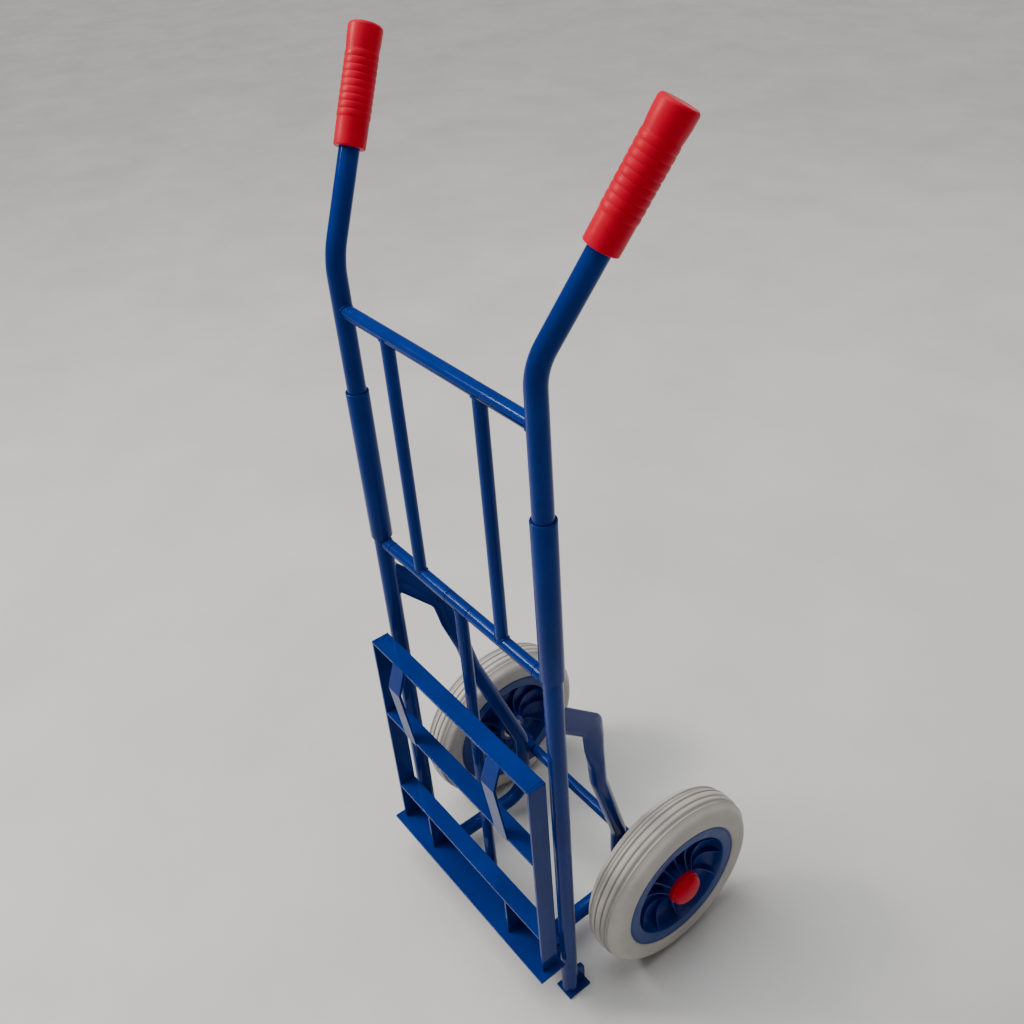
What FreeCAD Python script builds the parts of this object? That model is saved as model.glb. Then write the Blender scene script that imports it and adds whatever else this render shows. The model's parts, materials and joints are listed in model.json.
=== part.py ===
import FreeCAD, Part
import math
import os

import Sketcher

# Folding sack truck: a welded lower frame on two wheels, an upper frame that folds forward about a
# hinge bar, two locking sleeves, and a toe grid that folds down from the foot of the posts.
# Frame: +Z up, the load side faces -Y, the user stands at +Y and "left" is the user's left, +X.
# The origin is on the floor, under the middle of the whole truck's box.

V = FreeCAD.Vector
SIDES = (("left", 1), ("right", -1))

doc = FreeCAD.newDocument("folding_sack_truck")
sheet = doc.addObject("Spreadsheet::Sheet", "Dims")

DIMENSIONS = (
    # frame tubes
    ("post_x", 165.0, "half the distance between the post centres"),
    ("post_y", -118.75, "plane of the posts"),
    ("tube_radius", 11.0, "main tubes, outside"),
    ("tube_bore", 9.0, "main tubes, inside"),
    ("bar_radius", 8.0, "cross bars and hinge bar"),
    ("bar_bore", 6.4, "cross bars, inside"),
    ("rung_radius", 7.5, "upright ladder bars"),
    ("rung_bore", 6.0, "upright ladder bars, inside"),
    ("rung_x", 79.0, "ladder bars from the middle"),
    ("plate_thick", 4.0, "foot plates and flat bars"),
    # hinge of the upper frame
    ("hinge_z", 586.0, "fold axis of the upper frame"),
    ("rod_radius", 5.0, "rod through the hinge bar"),
    ("rod_bore", 5.05, "running bore round the rod"),
    ("knuckle_half", 20.0, "half the middle knuckle"),
    ("knuckle_gap", 1.0, "gap between neighbouring knuckles"),
    ("stub_start", 140.0, "inner end of the stubs on the posts"),
    ("nose_base", 10.4, "radius at the foot of the guide nose"),
    ("nose_rise", 12.5, "height of the guide nose above the post"),
    ("nose_tip", 3.0, "radius at the top of the guide nose"),
    ("nose_plug", 25.0, "length of the plug inside the post"),
    ("post_gap", 43.0, "upper posts start this far above the fold axis"),
    # sleeves
    ("sleeve_radius", 13.5, "locking sleeves, outside"),
    ("sleeve_bore", 11.1, "locking sleeves, running bore"),
    ("sleeve_foot", 8.5, "lower rim above the fold axis"),
    ("sleeve_length", 204.0, "locking sleeves"),
    # upper frame
    ("cross_z", 898.0, "upper cross bar"),
    ("bend_z", 955.0, "where the handle's line meets the post's line"),
    ("bend_radius", 75.0, "handle bend, on the centre line"),
    ("handle_lean", 31.0, "handle from the vertical, degrees"),
    ("handle_splay", 27.0, "handle outwards from straight back, degrees"),
    ("handle_reach", 228.0, "bend corner to the end of the tube"),
    ("grip_start", 112.0, "bend corner to the mouth of the grip"),
    ("grip_length", 121.0, "grip"),
    # rear legs
    ("leg_top_z", 520.0, "leg meets the post"),
    ("pressed_tall", 16.5, "half height of the leg's pressed end"),
    ("pressed_thin", 4.4, "half thickness of the leg's pressed end"),
    ("leg_x", 108.0, "lower part of the leg"),
    ("leg_y", 142.0, "lower part of the leg behind the posts"),
    ("leg_knee_z", 165.0, "where the slope turns upright"),
    ("leg_foot_z", 44.0, "run back to the heel tube"),
    # axle and wheels
    ("axle_y", 162.0, "axle behind the posts"),
    ("axle_z", 130.0, "axle height"),
    ("axle_radius", 8.0, "axle"),
    ("axle_half", 221.0, "half the axle's length"),
    ("wheel_x", 186.0, "middle of the tyre"),
    ("wheel_radius", 130.0, "tyre, outside"),
    ("tyre_half", 29.0, "half the tyre's width"),
    ("rim_radius", 95.0, "rim where the tyre sits"),
    ("hub_half", 29.0, "half the hub's length"),
    ("bearing_radius", 16.0, "bearing, outside"),
    ("bearing_width", 10.0, "bearing"),
    ("bearing_bore", 8.05, "running bore on the axle"),
    # heel of the posts
    ("heel_z", 56.0, "heel tube, the toe grid's hinge"),
    ("heel_radius", 10.0, "heel tube"),
    ("heel_bore", 10.06, "running bore round the heel tube"),
    # toe grid, folded up
    ("grid_half", 164.0, "outer faces of the side bars"),
    ("grid_front", 42.0, "front edges, ahead of the posts"),
    ("flat_depth", 25.0, "flat bars, front to back"),
    ("grid_top", 441.0, "top face of the top bar"),
    ("grid_mid", 309.0, "top face of the middle bar"),
    ("grid_low", 156.0, "top face of the low bar"),
    ("heel_plate_top", 82.0, "top face of the heel plate"),
    ("heel_plate_half", 174.0, "half the heel plate's length"),
    ("heel_plate_front", 53.0, "heel plate's front edge, ahead of the posts"),
    ("heel_plate_depth", 40.0, "heel plate, front to back"),
    ("flange_height", 40.0, "upright flange behind the heel plate"),
    ("rib_x", 89.0, "short ribs from the middle"),
    ("skid_x", 99.5, "bent feet from the middle"),
    ("skid_width", 25.0, "bent feet"),
    ("skid_bulge", 12.5, "bent feet ahead of the grid's front"),
    ("skid_z", 405.0, "apex of the bent feet"),
)

for row, (alias, value, meaning) in enumerate(DIMENSIONS, start=1):
    sheet.set("A%d" % row, meaning)
    sheet.set("B%d" % row, str(value))
    sheet.setAlias("B%d" % row, alias)
doc.recompute()

parts = []


def dim(alias):
    """The number in a named cell."""
    return float(sheet.get(alias))


def named(obj, label):
    """Register a finished sub-part under its node name."""
    obj.Label = label
    parts.append(obj)
    return obj


def bind(obj, **links):
    """Bind properties to spreadsheet expressions; double underscores stand for dots."""
    for prop, expression in links.items():
        obj.setExpression(prop.replace("__", "."), expression)


def place(obj, x="0", y="0", z="0", turn=None):
    """Put an object at bound coordinates, y counted from the posts, after an optional turn."""
    if turn is not None:
        obj.Placement = FreeCAD.Placement(V(0, 0, 0), turn)
    bind(obj, Placement__Base__x=x, Placement__Base__y="Dims.post_y + " + y, Placement__Base__z=z)


ALONG_X = FreeCAD.Rotation(V(0, 1, 0), 90)
UPRIGHT = FreeCAD.Rotation()


def cylinder(radius, length, x="0", y="0", z="0", turn=UPRIGHT):
    """A solid cylinder with bound sizes, starting at the given point."""
    obj = doc.addObject("Part::Cylinder", "cylinder")
    bind(obj, Radius=radius, Height=length)
    place(obj, x, y, z, turn)
    return obj


def along_x(radius, half, y="0", z="0"):
    """A cylinder along X, centred on the truck's middle plane."""
    return cylinder(radius, "2 * (%s)" % half, "-(%s)" % half, y, z, ALONG_X)


def box(length, width, height, x="0", y="0", z="0"):
    """A block with bound sizes, from its low corner."""
    obj = doc.addObject("Part::Box", "block")
    bind(obj, Length=length, Width=width, Height=height)
    place(obj, x, y, z)
    return obj


def cut(base, *tools):
    """The base less every tool."""
    tool = tools[0]
    if len(tools) > 1:
        tool = doc.addObject("Part::MultiFuse", "tools")
        tool.Shapes = list(tools)
    obj = doc.addObject("Part::Cut", "cut")
    obj.Base = base
    obj.Tool = tool
    return obj


def fuse(*shapes):
    """All shapes as one solid."""
    obj = doc.addObject("Part::MultiFuse", "fused")
    obj.Shapes = list(shapes)
    obj.Refine = True
    return obj


def post_tool(sign, radius="Dims.tube_radius", extra=0.0):
    """A long cylinder on a post's axis, to cope a bar that is welded to it."""
    reach = "Dims.bend_z"
    return cylinder("%s + %g" % (radius, extra), reach, "%d * Dims.post_x" % sign)


def low(sign, start, length):
    """Low end along X of a piece that spans start to start + length on one side."""
    if sign > 0:
        return start
    return "-(%s) - (%s)" % (start, length)


def side_tube(sign, radius, start, end, y="0", z="0"):
    """A cylinder along X on one side, from start to end outwards."""
    length = "(%s) - (%s)" % (end, start)
    return cylinder(radius, length, low(sign, start, length), y, z, ALONG_X)


def sketch_in(body, role, name):
    """A sketch on one of the body's own origin planes."""
    sketch = body.newObject("Sketcher::SketchObject", name)
    plane = [feature for feature in body.Origin.OriginFeatures if feature.Role == role][0]
    sketch.AttachmentSupport = (plane, [""])
    sketch.MapMode = "FlatFace"
    return sketch


def bound_circle(sketch, expression):
    """A circle at the sketch's origin with a bound radius."""
    index = sketch.addGeometry(Part.Circle(V(0, 0, 0), V(0, 0, 1), 5.0 + sketch.GeometryCount))
    sketch.addConstraint(Sketcher.Constraint("Coincident", index, 3, -1, 1))
    radius = sketch.addConstraint(Sketcher.Constraint("Radius", index, 5.0 + index))
    sketch.setExpression("Constraints[%d]" % radius, expression)
    return index


def polygon(sketch, points):
    """A closed outline through the points, each held by its two coordinates."""
    count = len(points)
    for i in range(count):
        sketch.addGeometry(Part.LineSegment(V(*points[i], 0), V(*points[(i + 1) % count], 0)))
    for i in range(count):
        sketch.addConstraint(Sketcher.Constraint("Coincident", i, 2, (i + 1) % count, 1))
    for i, (u, v) in enumerate(points):
        sketch.addConstraint(Sketcher.Constraint("DistanceX", -1, 1, i, 1, u))
        sketch.addConstraint(Sketcher.Constraint("DistanceY", -1, 1, i, 1, v))


def revolved(label, outline, sign=1, x="0", y="0", z="0", turn=None):
    """A body turned from an outline of (radius, height) about its own upright axis."""
    body = doc.addObject("PartDesign::Body", "Body")
    profile = sketch_in(body, "XZ_Plane", "Profile")
    polygon(profile, outline)
    spin = body.newObject("PartDesign::Revolution", "Revolution")
    spin.Profile = profile
    spin.ReferenceAxis = (profile, ["V_Axis"])
    spin.Angle = 360
    place(body, x, y, z, turn)
    return named(body, label)


def arc_points(centre, radius, start, end, steps):
    """Points on an arc, angles in degrees, both ends included."""
    angles = [math.radians(start + (end - start) * i / steps) for i in range(steps + 1)]
    return [(centre[0] + radius * math.cos(a), centre[1] + radius * math.sin(a)) for a in angles]


# ---------------------------------------------------------------- lower frame: posts and hinge

def lower_post(side, sign):
    """Straight post from the foot plate to just under the sleeve."""
    body = doc.addObject("PartDesign::Body", "Post")
    ring = sketch_in(body, "XY_Plane", "Section")
    bound_circle(ring, "Dims.tube_radius")
    bound_circle(ring, "Dims.tube_bore")
    pad = body.newObject("PartDesign::Pad", "Pad")
    pad.Profile = ring
    pad.setExpression("Length", "Dims.hinge_z + Dims.bar_radius - Dims.plate_thick")
    place(body, "%d * Dims.post_x" % sign, "0", "Dims.plate_thick")
    return named(body, "lower_post_" + side)


def post_nose(side, sign):
    """Plug in the post's mouth whose round nose guides the sleeve as the joint closes."""
    plug_radius = dim("tube_bore")
    rise = dim("nose_rise")
    base = dim("nose_base")
    tip = dim("nose_tip")
    shoulder = [(base - (base - tip) * (i / 6.0) ** 1.7, rise * i / 6.0) for i in range(1, 7)]
    outline = [(0.0, -dim("nose_plug")), (plug_radius, -dim("nose_plug")), (plug_radius, 0.0)]
    outline += [(base, 0.0)] + shoulder + [(0.0, rise)]
    mouth = "Dims.hinge_z + Dims.bar_radius"
    return revolved("post_nose_" + side, outline, sign, "%d * Dims.post_x" % sign, "0", mouth)


def hinge_stub(side, sign):
    """Short end of the hinge bar, coped onto the post; it holds the rod's end."""
    blank = side_tube(sign, "Dims.bar_radius", "Dims.stub_start", "Dims.post_x", "0", "Dims.hinge_z")
    bore = side_tube(sign, "Dims.rod_radius", "Dims.stub_start - 1", "Dims.post_x", "0", "Dims.hinge_z")
    return named(cut(blank, bore, post_tool(sign)), "hinge_stub_" + side)


def hinge_knuckle():
    """Middle knuckle of the hinge bar, welded to the centre bar."""
    blank = along_x("Dims.bar_radius", "Dims.knuckle_half", "0", "Dims.hinge_z")
    bore = along_x("Dims.rod_radius", "Dims.knuckle_half + 1", "0", "Dims.hinge_z")
    return named(cut(blank, bore), "hinge_knuckle")


def hinge_rod():
    """Rod through all the knuckles, from post to post."""
    half = "Dims.post_x - Dims.tube_radius"
    return named(along_x("Dims.rod_radius", half, "0", "Dims.hinge_z"), "hinge_rod")


def centre_bar():
    """Upright bar from the middle knuckle down to the heel tube."""
    blank = cylinder("Dims.rung_radius", "Dims.hinge_z - Dims.heel_z", "0", "0", "Dims.heel_z")
    hollow = cylinder("Dims.rung_bore", "Dims.hinge_z - Dims.heel_z", "0", "0", "Dims.heel_z")
    top = along_x("Dims.bar_radius", "Dims.knuckle_half", "0", "Dims.hinge_z")
    foot = along_x("Dims.heel_radius", "Dims.knuckle_half", "0", "Dims.heel_z")
    return named(cut(blank, hollow, top, foot), "centre_bar")


def heel_tube():
    """Tube between the posts' feet that the toe grid hinges on."""
    blank = along_x("Dims.heel_radius", "Dims.post_x", "0", "Dims.heel_z")
    bore = along_x("Dims.heel_radius - 2", "Dims.post_x", "0", "Dims.heel_z")
    return named(cut(blank, bore, post_tool(1), post_tool(-1)), "heel_tube")


def foot_plate(side, sign):
    """Rest plate under the post with a rounded gusset standing behind it."""
    depth = 36.0
    half_width = 14.0
    front = -12.0
    gusset_radius = 8.0
    gusset_height = 24.0
    gusset_thick = 6.0
    x = "%d * Dims.post_x" % sign
    plate = box("%g" % (2 * half_width), "%g" % depth, "Dims.plate_thick",
                "%s - %g" % (x, half_width), "%g" % front, "0")
    back = depth + front
    web = box("%g" % gusset_thick, "%g" % back, "%g" % gusset_height,
              "%s - %g" % (x, gusset_thick / 2), "0", "Dims.plate_thick")
    top = box("%g" % gusset_thick, "%g" % (back - gusset_radius), "%g" % (gusset_height + gusset_radius),
              "%s - %g" % (x, gusset_thick / 2), "0", "Dims.plate_thick")
    crown = cylinder("%g" % gusset_radius, "%g" % gusset_thick, "%s - %g" % (x, gusset_thick / 2),
                     "%g" % (back - gusset_radius), "Dims.plate_thick + %g" % gusset_height, ALONG_X)
    return named(cut(fuse(plate, web, top, crown), above_plate(sign)), "foot_plate_" + side)


def above_plate(sign):
    """The post's own outline above the foot plate, which the gusset fits round."""
    return cylinder("Dims.tube_radius", "200", "%d * Dims.post_x" % sign, "0", "Dims.plate_thick")


# ---------------------------------------------------------------- lower frame: rear legs and axle

def rounded_path(points, radii):
    """A wire of straight runs joined by tangent arcs, one radius for each inner point."""
    edges = []
    start = points[0]
    for corner, after, radius in zip(points[1:-1], points[2:], radii):
        into = (corner - start).normalize()
        out = (after - corner).normalize()
        turn = into.getAngle(out)
        trim = radius * math.tan(turn / 2)
        first = corner - into * trim
        last = corner + out * trim
        inward = (out - into).normalize()
        middle = corner + inward * (radius / math.cos(turn / 2) - radius)
        edges.append(Part.LineSegment(start, first).toShape())
        edges.append(Part.Arc(first, middle, last).toShape())
        start = last
    edges.append(Part.LineSegment(start, points[-1]).toShape())
    return Part.Wire(edges)


def swept(path, radius):
    """A round bar of the given radius along a wire."""
    start = path.OrderedVertexes[0].Point
    heading = path.OrderedEdges[0].tangentAt(path.OrderedEdges[0].FirstParameter)
    ring = Part.Wire([Part.Circle(start, heading, radius).toShape()])
    return path.makePipeShell([ring], True, False)


def section(centre, heading, across, tall, thin):
    """An oval wire square to the heading; thin lies along the across direction."""
    if tall > thin:
        curve = Part.Ellipse(V(0, 0, 0), tall, thin)
    else:
        curve = Part.Circle(V(0, 0, 0), V(0, 0, 1), tall)
    curve.Center = centre
    curve.Axis = heading
    curve.XAxis = heading.cross(across)
    return Part.Wire([curve.toShape()])


def leg_bar(points, inset):
    """The leg as a solid bar, less a wall's inset all round.

    From the post through the first bend the bar is a pressed oval, tall in the bend's plane. It
    runs out to the full round below that bend.
    """
    start, knee, kink = points[:3]
    heading = (knee - start).normalize()
    after = (kink - knee).normalize()
    across = heading.cross(after).normalize()
    tall = dim("pressed_tall") - inset
    thin = dim("pressed_thin") - inset
    radius = dim("tube_radius") - inset
    oval_end = knee + after * 40.0
    round_start = knee + after * 90.0
    first = start - heading * 10.0
    arm = rounded_path([first, knee, oval_end], (34.0,))
    pressed = arm.makePipeShell([section(first, heading, across, tall, thin)], True, False)
    change = Part.makeLoft([section(oval_end, after, across, tall, thin),
                            section(round_start, after, across, radius, radius)], True, True)
    lower = swept(rounded_path([round_start] + points[2:], (100.0, 60.0, 36.0)), radius)
    return pressed.fuse([change, lower])


def leg(side, sign):
    """Bent tube: back from the post, down past the axle, then forward to the heel tube."""
    y0 = dim("post_y")
    points = [
        V(sign * dim("post_x"), y0, dim("leg_top_z") + 12.0),
        V(sign * 150.0, y0 + 64.5, 463.0),
        V(sign * 132.0, y0 + 87.5, 333.0),
        V(sign * dim("leg_x"), y0 + dim("leg_y"), dim("leg_knee_z")),
        V(sign * dim("leg_x"), y0 + dim("leg_y"), dim("leg_foot_z")),
        V(sign * dim("leg_x"), y0, dim("leg_foot_z")),
    ]
    corner = points[0]
    post = Part.makeCylinder(dim("tube_radius"), dim("bend_z"), V(corner.x, y0, 0.0))
    heel_half = dim("post_x")
    heel = Part.makeCylinder(dim("heel_radius"), 2 * heel_half, V(-heel_half, y0, dim("heel_z")), V(1, 0, 0))
    front = Part.makeBox(200.0, 100.0, 200.0, V(corner.x - 100.0, y0 - 100.0, 0.0))
    tube = leg_bar(points, 0.0).cut(leg_bar(points, dim("tube_radius") - dim("tube_bore")))
    tube = tube.cut(post.fuse([heel, front, ahead_of_post(sign)]))
    obj = doc.addObject("Part::Feature", "Leg")
    obj.Shape = biggest(tube)
    return named(obj, "leg_" + side)


def ahead_of_post(sign):
    """The space on and ahead of the post's axis, where the leg's end is trimmed away."""
    return Part.makeBox(80.0, 200.0, 200.0, V(sign * dim("post_x") - 40.0, dim("post_y") - 200.0,
                                              dim("leg_top_z") - 80.0))


def biggest(shape):
    """The largest solid of a shape, without trimmed-off crumbs."""
    return max(shape.Solids, key=lambda solid: solid.Volume)


def axle():
    """Axle bar behind the legs, through both wheels."""
    return named(along_x("Dims.axle_radius", "Dims.axle_half", "Dims.axle_y", "Dims.axle_z"), "axle")


def axle_bracket(side, sign):
    """Clamp plate that closes the gap between leg and axle, welded to both."""
    half = 9.0
    start = "Dims.leg_x - %g" % half
    width = "%g" % (2 * half)
    block = box(width, "Dims.axle_y - Dims.leg_y", "26",
                low(sign, start, width), "Dims.leg_y", "Dims.axle_z - 13")
    seat = side_tube(sign, "Dims.axle_radius", start + " - 5", start + " + 30", "Dims.axle_y", "Dims.axle_z")
    back = cylinder("Dims.tube_radius", "60", "%d * Dims.leg_x" % sign, "Dims.leg_y", "Dims.axle_z - 30")
    return named(cut(block, seat, back), "axle_bracket_" + side)


def axle_spacer(side, sign):
    """Tube on the axle between the leg and the wheel's bearing."""
    start = "Dims.leg_x + Dims.tube_radius + 2"
    end = "Dims.wheel_x - Dims.hub_half - 1"
    blank = side_tube(sign, "12", start, end, "Dims.axle_y", "Dims.axle_z")
    bore = side_tube(sign, "Dims.axle_radius", start + " - 1", end + " + 1", "Dims.axle_y", "Dims.axle_z")
    return named(cut(blank, bore), "axle_spacer_" + side)


def axle_washer(side, sign):
    """Washer outside the outer bearing."""
    start = "Dims.wheel_x + Dims.hub_half + 0.3"
    blank = side_tube(sign, "14", start, start + " + 1.5", "Dims.axle_y", "Dims.axle_z")
    bore = side_tube(sign, "Dims.axle_radius", start + " - 1", start + " + 3", "Dims.axle_y", "Dims.axle_z")
    return named(cut(blank, bore), "axle_washer_" + side)


def axle_clip(side, sign):
    """Push-on retaining clip at the axle's end."""
    start = "Dims.wheel_x + Dims.hub_half + 1.8"
    blank = side_tube(sign, "12", start, start + " + 2.2", "Dims.axle_y", "Dims.axle_z")
    bore = side_tube(sign, "Dims.axle_radius", start + " - 1", start + " + 4", "Dims.axle_y", "Dims.axle_z")
    return named(cut(blank, bore), "axle_clip_" + side)


# ---------------------------------------------------------------- upper frame

def handle_turn(sign):
    """Turns the handle's plane from straight back outwards to its splay."""
    return FreeCAD.Rotation(V(0, 0, 1), 90 - sign * dim("handle_splay"))


def upper_post(side, sign):
    """Post with the bent handle: an upright run, one bend and the run into the grip."""
    body = doc.addObject("PartDesign::Body", "UpperPost")
    spine = sketch_in(body, "XZ_Plane", "Spine")
    lean = math.radians(dim("handle_lean"))
    trim = dim("bend_radius") * math.tan(lean / 2)
    rise = dim("bend_z") - dim("hinge_z") - dim("post_gap")
    radius = dim("bend_radius")
    low_end = V(0, rise - trim, 0)
    high_end = V(trim * math.sin(lean), rise + trim * math.cos(lean), 0)
    tip = V(dim("handle_reach") * math.sin(lean), rise + dim("handle_reach") * math.cos(lean), 0)
    middle = V(radius - radius * math.cos(lean / 2), low_end.y + radius * math.sin(lean / 2), 0)
    spine.addGeometry(Part.LineSegment(V(0, 0, 0), low_end))
    spine.addGeometry(Part.Arc(low_end, middle, high_end))
    spine.addGeometry(Part.LineSegment(high_end, tip))
    trim_text = "Dims.bend_radius * tan(Dims.handle_lean * 0.5 deg)"
    for constraint, expression in (
        (Sketcher.Constraint("Coincident", 0, 1, -1, 1), None),
        (Sketcher.Constraint("Vertical", 0), None),
        (Sketcher.Constraint("Tangent", 0, 2, 1, 2), None),
        (Sketcher.Constraint("Tangent", 1, 1, 2, 1), None),
        (Sketcher.Constraint("Distance", 0, low_end.y),
         "Dims.bend_z - Dims.hinge_z - Dims.post_gap - " + trim_text),
        (Sketcher.Constraint("Radius", 1, radius), "Dims.bend_radius"),
        (Sketcher.Constraint("Distance", 2, (tip - high_end).Length),
         "Dims.handle_reach - " + trim_text),
        (Sketcher.Constraint("Angle", 2, math.pi / 2 - lean), "(90 - Dims.handle_lean) * 1 deg"),
    ):
        index = spine.addConstraint(constraint)
        if expression:
            spine.setExpression("Constraints[%d]" % index, expression)
    for name, kind, radius_text in (("Outer", "Additive", "Dims.tube_radius"),
                                    ("Inner", "Subtractive", "Dims.tube_bore")):
        ring = sketch_in(body, "XY_Plane", name)
        bound_circle(ring, radius_text)
        pipe = body.newObject("PartDesign::%sPipe" % kind, kind)
        pipe.Profile = ring
        pipe.Spine = spine
    place(body, "%d * Dims.post_x" % sign, "0", "Dims.hinge_z + Dims.post_gap", handle_turn(sign))
    return named(body, "upper_post_" + side)


def upper_crossbar():
    """Cross bar between the upper posts."""
    blank = along_x("Dims.bar_radius", "Dims.post_x", "0", "Dims.cross_z")
    bore = along_x("Dims.bar_bore", "Dims.post_x", "0", "Dims.cross_z")
    return named(cut(blank, bore, post_tool(1), post_tool(-1)), "upper_crossbar")


def ladder_bar(side, sign):
    """Upright bar from the hinge barrel to the upper cross bar."""
    x = "%d * Dims.rung_x" % sign
    blank = cylinder("Dims.rung_radius", "Dims.cross_z - Dims.hinge_z", x, "0", "Dims.hinge_z")
    hollow = cylinder("Dims.rung_bore", "Dims.cross_z - Dims.hinge_z", x, "0", "Dims.hinge_z")
    foot = along_x("Dims.bar_radius", "Dims.post_x", "0", "Dims.hinge_z")
    top = along_x("Dims.bar_radius", "Dims.post_x", "0", "Dims.cross_z")
    return named(cut(blank, hollow, foot, top), "ladder_bar_" + side)


def hinge_barrel(side, sign):
    """Long barrel of the hinge bar that turns on the rod with the upper frame."""
    start = "Dims.knuckle_half + Dims.knuckle_gap"
    end = "Dims.stub_start - Dims.knuckle_gap"
    blank = side_tube(sign, "Dims.bar_radius", start, end, "0", "Dims.hinge_z")
    bore = side_tube(sign, "Dims.rod_bore", start + " - 1", end + " + 1", "0", "Dims.hinge_z")
    return named(cut(blank, bore), "hinge_barrel_" + side)


def grip(side, sign):
    """Moulded grip: a collar at the mouth, ribs along the middle and a wider closed end."""
    length = dim("grip_length")
    bore = dim("tube_radius")
    tube_end = dim("handle_reach") - dim("grip_start")
    outline = [(bore, 0.0), (15.7, 0.0), (16.7, 1.2), (16.8, 26.0)]
    ribs = 9
    pitch = 7.2
    for i in range(ribs):
        foot = 28.6 + pitch * i
        outline += [(16.8, foot), (17.4, foot + 1.2), (17.4, foot + 5.0), (16.8, foot + 6.2)]
    outline += [(17.1, 96.0), (17.9, 106.0)]
    outline += arc_points((14.0, length - 4.0), 4.0, 10.0, 90.0, 5)
    outline += [(0.0, length), (0.0, tube_end), (bore, tube_end)]
    lean = dim("handle_lean")
    turn = handle_turn(sign).multiply(FreeCAD.Rotation(V(0, 1, 0), lean))
    sideways = "Dims.grip_start * sin(Dims.handle_lean * 1 deg) * sin(Dims.handle_splay * 1 deg)"
    back = "Dims.grip_start * sin(Dims.handle_lean * 1 deg) * cos(Dims.handle_splay * 1 deg)"
    up = "Dims.bend_z + Dims.grip_start * cos(Dims.handle_lean * 1 deg)"
    x = "%d * (Dims.post_x + %s)" % (sign, sideways)
    return revolved("grip_" + side, outline, sign, x, back, up, turn)


def sleeve(side, sign):
    """Locking sleeve over the joint between the lower and the upper post."""
    body = doc.addObject("PartDesign::Body", "Sleeve")
    ring = sketch_in(body, "XY_Plane", "Section")
    bound_circle(ring, "Dims.sleeve_radius")
    bound_circle(ring, "Dims.sleeve_bore")
    pad = body.newObject("PartDesign::Pad", "Pad")
    pad.Profile = ring
    pad.setExpression("Length", "Dims.sleeve_length")
    place(body, "%d * Dims.post_x" % sign, "0", "Dims.hinge_z + Dims.sleeve_foot")
    return named(body, "sleeve_" + side)


# ---------------------------------------------------------------- toe grid

def grid_bar(label, top):
    """Flat bar on edge across the grid, between the side bars."""
    half = "(Dims.grid_half - Dims.plate_thick)"
    bar = box("2 * " + half, "Dims.flat_depth", "Dims.plate_thick",
              "-" + half, "-Dims.grid_front", "%s - Dims.plate_thick" % top)
    return named(bar, label)


def side_bar(side, sign):
    """Flat bar on edge up one side of the grid."""
    x = low(sign, "Dims.grid_half - Dims.plate_thick", "Dims.plate_thick")
    height = "Dims.grid_top - Dims.heel_plate_top"
    bar = box("Dims.plate_thick", "Dims.flat_depth", height, x, "-Dims.grid_front", "Dims.heel_plate_top")
    return named(bar, "toe_side_bar_" + side)


def toe_rib(side, sign):
    """Short flat rib between the low bar and the heel plate."""
    x = low(sign, "Dims.rib_x - Dims.plate_thick / 2", "Dims.plate_thick")
    height = "Dims.grid_low - Dims.plate_thick - Dims.heel_plate_top"
    bar = box("Dims.plate_thick", "Dims.flat_depth", height, x, "-Dims.grid_front", "Dims.heel_plate_top")
    return named(bar, "toe_rib_" + side)


def heel_plate():
    """Flat plate under the grid that stands on the floor when the grid is down."""
    plate = box("2 * Dims.heel_plate_half", "Dims.heel_plate_depth", "Dims.plate_thick",
                "-Dims.heel_plate_half", "-Dims.heel_plate_front", "Dims.heel_plate_top - Dims.plate_thick")
    return named(plate, "heel_plate")


def heel_flange():
    """Upright flange behind the heel plate's ribs; it is the deck's heel when the grid is down."""
    half = "(Dims.grid_half - Dims.plate_thick - 6)"
    plate = box("2 * " + half, "Dims.plate_thick", "Dims.flange_height",
                "-" + half, "-Dims.grid_front + Dims.flat_depth", "Dims.heel_plate_top")
    return named(plate, "heel_flange")


def skid(side, sign):
    """Bent strip foot on the grid's front, from the top bar to the middle bar."""
    body = doc.addObject("PartDesign::Body", "Skid")
    profile = sketch_in(body, "YZ_Plane", "Profile")
    bulge = -dim("skid_bulge")
    top = dim("grid_top")
    middle = dim("grid_mid")
    apex = dim("skid_z")
    wall = dim("plate_thick")
    polygon(profile, [(0.0, top + 1.0), (bulge, apex), (0.0, middle - 7.0),
                      (0.0, middle + 5.0), (bulge + wall, apex), (0.0, top - 10.0)])
    pad = body.newObject("PartDesign::Pad", "Pad")
    pad.Profile = profile
    pad.setExpression("Length", "Dims.skid_width")
    pad.Midplane = True
    place(body, "%d * Dims.skid_x" % sign, "-Dims.grid_front", "0")
    return named(body, "toe_skid_" + side)


def toe_lug(side, sign):
    """Pair of hinge lugs round the heel tube, each with an arm up to the heel plate."""
    pieces = []
    for centre in (58.0, 132.0):
        half = 8.0
        start = "%g" % (centre - half)
        end = "%g" % (centre + half)
        eye = side_tube(sign, "Dims.heel_radius + 4", start, end, "0", "Dims.heel_z")
        x = low(sign, start, "%g" % (2 * half))
        arm = box("%g" % (2 * half), "24", "26 - Dims.plate_thick", x, "-24", "Dims.heel_z")
        bore = side_tube(sign, "Dims.heel_bore", start + " - 1", end + " + 1", "0", "Dims.heel_z")
        pieces.append(cut(fuse(eye, arm), bore))
    pair = doc.addObject("Part::Compound", "Lugs")
    pair.Links = pieces
    return named(pair, "toe_lugs_" + side)


# ---------------------------------------------------------------- wheels, turned about X

def wheel_turn(sign):
    """Turns a piece's own upright axis outwards along X."""
    return FreeCAD.Rotation(V(0, 1, 0), 90 * sign)


def wheel_piece(label, outline, sign):
    """A turned piece of the wheel, outline height counted outwards from the tyre's middle."""
    x = "%d * Dims.wheel_x" % sign
    return revolved(label, outline, sign, x, "Dims.axle_y", "Dims.axle_z", wheel_turn(sign))


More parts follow.
